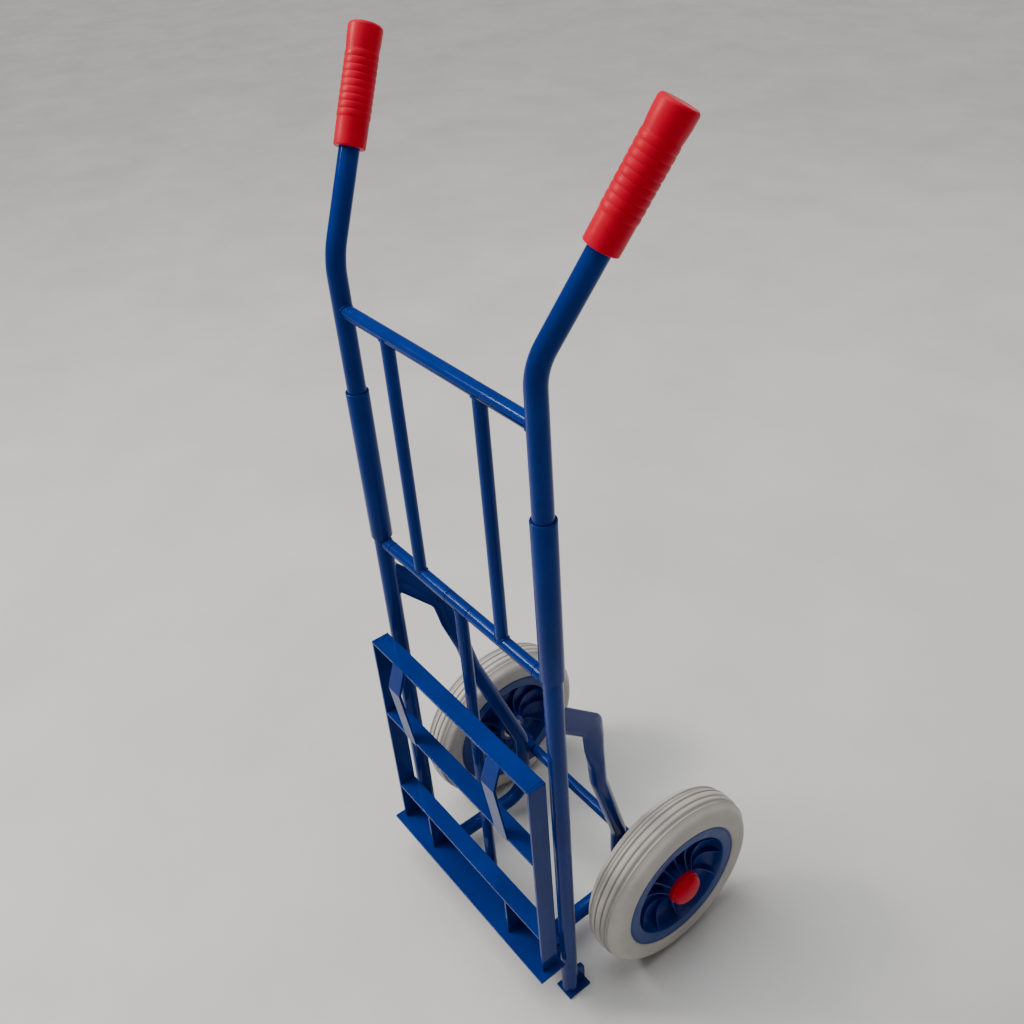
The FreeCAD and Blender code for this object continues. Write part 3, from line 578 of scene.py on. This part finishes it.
def tyre_outline():
    """Rounded sidewalls and a crowned tread with four grooves, from the inner side outwards."""
    half = WHEEL_HALF
    seat = 95.0
    tread_radius = 130
    tread_edge = (17.6, 127.2)
    shoulder = 14.0
    shoulder_middle = 111.5
    groove_depth = 1.9
    outline = [(seat, -half + 2.4), (seat + 1.2, -half + 1.0), (seat + 3.2, -half + 0.2)]
    outline += [(seat + 9.0, -half), (seat + 16.0, -half + 0.1)]
    outline += arc((shoulder_middle, -half + shoulder), shoulder, 275, 330, 8)
    tread = [(-tread_edge[0], tread_edge[1])]
    for offset in (-15.0, -5.0, 5.0, 15.0):
        crest = tread_radius - 0.012 * (offset * offset - 25.0)
        bottom = crest - groove_depth
        tread += [(offset - 2.4, crest), (offset - 1.5, crest - 0.5), (offset - 0.9, bottom),
                  (offset + 0.9, bottom), (offset + 1.5, crest - 0.5), (offset + 2.4, crest)]
    tread.append(tread_edge)
    outline += [(radius, x) for x, radius in tread]
    outline += arc((shoulder_middle, half - shoulder), shoulder, 30, 85, 8)
    outline += [(seat + 16.0, half - 0.1), (seat + 9.0, half), (seat + 3.2, half - 0.2)]
    outline += [(seat + 1.2, half - 1.0), (seat, half - 2.4)]
    return outline


def rim_outline():
    """Hub, thin web and barrel; each side's face is a flat band with a rounded inner edge."""
    outer = [(21.5, 28.8), (22.9, 27.4), (23.0, 12.0), (24.5, 6.0), (30.0, 3.4), (60.0, 3.2),
             (69.0, 5.0), (74.0, 10.0), (76.2, 17.0), (76.9, 24.5), (77.8, 26.3), (79.3, 26.9),
             (91.8, 26.9), (92.6, 26.2), (93.4, 26.9), (94.9, 26.9)]
    bearing = 16.0
    bearing_depth = 19.0
    hub_bore = 13.0
    hub_end = 28.9
    outline = [(bearing, -hub_end)] + [(radius, -x) for radius, x in outer]
    outline += [(radius, x) for radius, x in reversed(outer)] + [(bearing, hub_end)]
    return outline + [(bearing, bearing_depth), (hub_bore, bearing_depth),
                      (hub_bore, -bearing_depth), (bearing, -bearing_depth)]


def cap_outline():
    """Hollow dome over the hub with a stepped rim."""
    half = WHEEL_HALF
    dome_radius = 22.9
    dome_rise = 11.5
    dome_foot = half + 3.0
    steps = 14
    outline = [(23.15, half - 4.0), (23.7, half - 4.0), (24.0, half - 3.6), (24.0, half + 1.6)]
    outline += arc((23.2, half + 1.8), 0.8, 0, 90, 4)
    for i in range(steps):
        turn = math.pi / 2 * i / steps
        outline.append((dome_radius * math.cos(turn) ** 0.85, dome_foot + dome_rise * math.sin(turn) ** 0.85))
    outline.append((0.0, dome_foot + dome_rise))
    outline += [(0.0, half + 12.2), (7.6, half + 11.8), (13.6, half + 10.4), (18.0, half + 8.0)]
    return outline + [(20.5, half + 4.0), (20.5, half + 0.1), (23.15, half + 0.1)]


FINS = fin_tree()
for side, sign in SIDES:
    hub = Vector((sign * WHEEL_X, AXLE.y, AXLE.z))
    outwards = (sign, 0, 0)
    body = "wheel_" + side
    piece("foam_tyre_" + side, lathe(tyre_outline(), hub, outwards, 192), body, TYRE_FOAM,
          ["tyre_" + side], 60)
    fins = grown(FINS, {"Material": RIM_PLASTIC})
    seat = Matrix.Translation(hub) @ Vector(outwards).to_track_quat("Z", "Y").to_matrix().to_4x4()
    fins.transform(seat)
    mesh = joined(lathe(rim_outline(), hub, outwards, 144), fins)
    piece("spoked_rim_" + side, mesh, body, RIM_PLASTIC, ["rim_" + side], 40)
    piece("domed_cap_" + side, lathe(cap_outline(), hub, outwards, 96), body, RED_PLASTIC,
          ["hub_cap_" + side], 50)


# ---------------------------------------------------------------- weld seams

# Half sizes of the oval that each leg is pressed to at the post.
PRESSED_HALVES = (4.4 * MM, 16.5 * MM)
FOOT_PLATE_TOP = 4 * MM
FAR_START = 100 * MM
RUN_INSET = 2 * MM


def rung_seam(x, bar_z, bar_radius, way):
    """Where an upright rung meets a level bar; way is 1 when it comes from below and -1 from above."""
    return cope_path((x, POST.y, bar_z - way * FAR_START), (0, 0, way), (RUNG_RADIUS,) * 2,
                     (0, POST.y, bar_z), (1, 0, 0), bar_radius)


lower_loops = []
upper_loops = []
for side, sign in SIDES:
    post = Vector((sign * POST.x, POST.y, 0))
    to_post = (sign, 0, 0)
    up = (0, 0, 1)
    leg_start = Vector((sign * 150 * MM, POST.y + 64.5 * MM, 463 * MM))
    leg_kink = Vector((sign * 132 * MM, POST.y + 87.5 * MM, 333 * MM))
    leg_end = Vector((sign * POST.x, POST.y, 532 * MM))
    lower_loops += [
        cope_path((0, POST.y, HINGE.z), to_post, (BAR_RADIUS,) * 2, post, up, TUBE_RADIUS),
        cope_path((0, POST.y, HEEL.z), to_post, (HEEL_RADIUS,) * 2, post, up, TUBE_RADIUS),
        cope_path(leg_start, leg_end - leg_start, PRESSED_HALVES, post, up, TUBE_RADIUS,
                  (leg_end - leg_start).cross(leg_kink - leg_start)),
        ring_path((post.x, post.y, FOOT_PLATE_TOP), TUBE_RADIUS),
    ]
    upper_loops.append(cope_path((0, POST.y, CROSSBAR.z), to_post, (BAR_RADIUS,) * 2, post, up, TUBE_RADIUS))
    rung_x = sign * middle("ladder_bar_left").x
    for bar_z, way in ((HINGE.z, -1), (CROSSBAR.z, 1)):
        upper_loops.append(rung_seam(rung_x, bar_z, BAR_RADIUS, way))
lower_loops.append(rung_seam(0, HINGE.z, BAR_RADIUS, 1))
lower_loops.append(rung_seam(0, HEEL.z, HEEL_RADIUS, -1))

toe_runs = []
for side, sign in SIDES:
    for bar in ("toe_top_bar", "toe_middle_bar", "toe_low_bar"):
        lowest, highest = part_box(bar)
        edge = sign * highest.x
        toe_runs.append([(edge, y, lowest.z) for y in (lowest.y + RUN_INSET, highest.y - RUN_INSET)])
    lowest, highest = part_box("toe_rib_" + side)
    for x in (lowest.x, highest.x):
        for z in (lowest.z, highest.z):
            toe_runs.append([(x, y, z) for y in (lowest.y + RUN_INSET, highest.y - RUN_INSET)])
    lowest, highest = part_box("toe_side_bar_" + side)
    toe_runs.append([((lowest.x if sign > 0 else highest.x), y, lowest.z)
                     for y in (lowest.y + RUN_INSET, highest.y - RUN_INSET)])

SEAMS = weld_tree()
for name, body, loops, runs in (("lower", "lower_frame", lower_loops, []),
                                ("upper", "upper_frame", upper_loops, []),
                                ("toe", "toe_grid", [], toe_runs)):
    mesh = grown(SEAMS, {"Material": BLUE_PAINT, "Bead Radius": 1.5 * MM, "Bead Pitch": 1.1 * MM},
                 path_mesh(loops, runs))
    piece("weld_seams_" + name, mesh, body, BLUE_PAINT, (), 80)


# ---------------------------------------------------------------- floor, light and camera

def sheet_of(name, corners, material):
    """A flat four-cornered stage surface."""
    mesh = bpy.data.meshes.new(name)
    mesh.from_pydata(corners, [], [(0, 1, 2, 3)])
    mesh.materials.append(material)
    made = bpy.data.objects.new(name, mesh)
    scene.collection.objects.link(made)


REACH = 12.0
sheet_of("floor", [(-REACH, -REACH, 0), (REACH, -REACH, 0), (REACH, REACH, 0), (-REACH, REACH, 0)], FLOOR)
AIM = Vector((0, 0, 0.5))


def soft_light(name, place, width, height, power, tint):
    """A rectangular lamp aimed at the middle of the truck; sizes in metres, power in watts."""
    lamp = bpy.data.lights.new(name, "AREA")
    lamp.shape = "RECTANGLE"
    lamp.size = width
    lamp.size_y = height
    lamp.energy = power
    lamp.color = linear(tint)[:3]
    made = bpy.data.objects.new(name, lamp)
    aimed = (AIM - Vector(place)).to_track_quat("-Z", "Y").to_matrix().to_4x4()
    made.matrix_world = Matrix.Translation(place) @ aimed
    scene.collection.objects.link(made)


soft_light("key", (-1.9, -1.9, 2.6), 0.8, 0.8, 72, "#fffaf2")
soft_light("overhead", (0.2, 0.3, 3.2), 2.2, 2.2, 26, "#f8fbff")
soft_light("back", (-0.8, 2.6, 1.9), 1.4, 1.6, 8, "#ffffff")

# A broad, even light that keeps the floor one tone out to its far edge.
sky = bpy.data.lights.new("even_light", "SUN")
sky.energy = 2.1
sky.angle = math.radians(50)
sky_lamp = bpy.data.objects.new("even_light", sky)
sky_lamp.matrix_world = Vector((-0.35, -0.3, 1.0)).to_track_quat("Z", "Y").to_matrix().to_4x4()
scene.collection.objects.link(sky_lamp)

world = bpy.data.worlds.new("studio")
world.use_nodes = True
world.node_tree.nodes["Background"].inputs["Color"].default_value = linear("#e9e8e4")
world.node_tree.nodes["Background"].inputs["Strength"].default_value = 0.2
scene.world = world

CAMERA_PLACE = Vector((0.7742, -0.5855, 1.3706))
AZIMUTH = math.radians(54.64)
ELEVATION = math.radians(36.18)
ROLL = math.radians(-4.55)
forward = Vector((-math.sin(AZIMUTH) * math.cos(ELEVATION), math.cos(AZIMUTH) * math.cos(ELEVATION),
                  -math.sin(ELEVATION)))
level = Vector((math.cos(AZIMUTH), math.sin(AZIMUTH), 0))
upright = level.cross(forward)
right = level * math.cos(ROLL) + upright * math.sin(ROLL)
top = upright * math.cos(ROLL) - level * math.sin(ROLL)
camera = bpy.data.objects.new("camera", bpy.data.cameras.new("camera"))
camera.data.lens = 36.71
camera.data.sensor_width = 36.0
camera.data.clip_end = 60.0
turned = Matrix((right, top, -forward)).transposed().to_4x4()
camera.matrix_world = Matrix.Translation(CAMERA_PLACE) @ turned
scene.collection.objects.link(camera)
scene.camera = camera
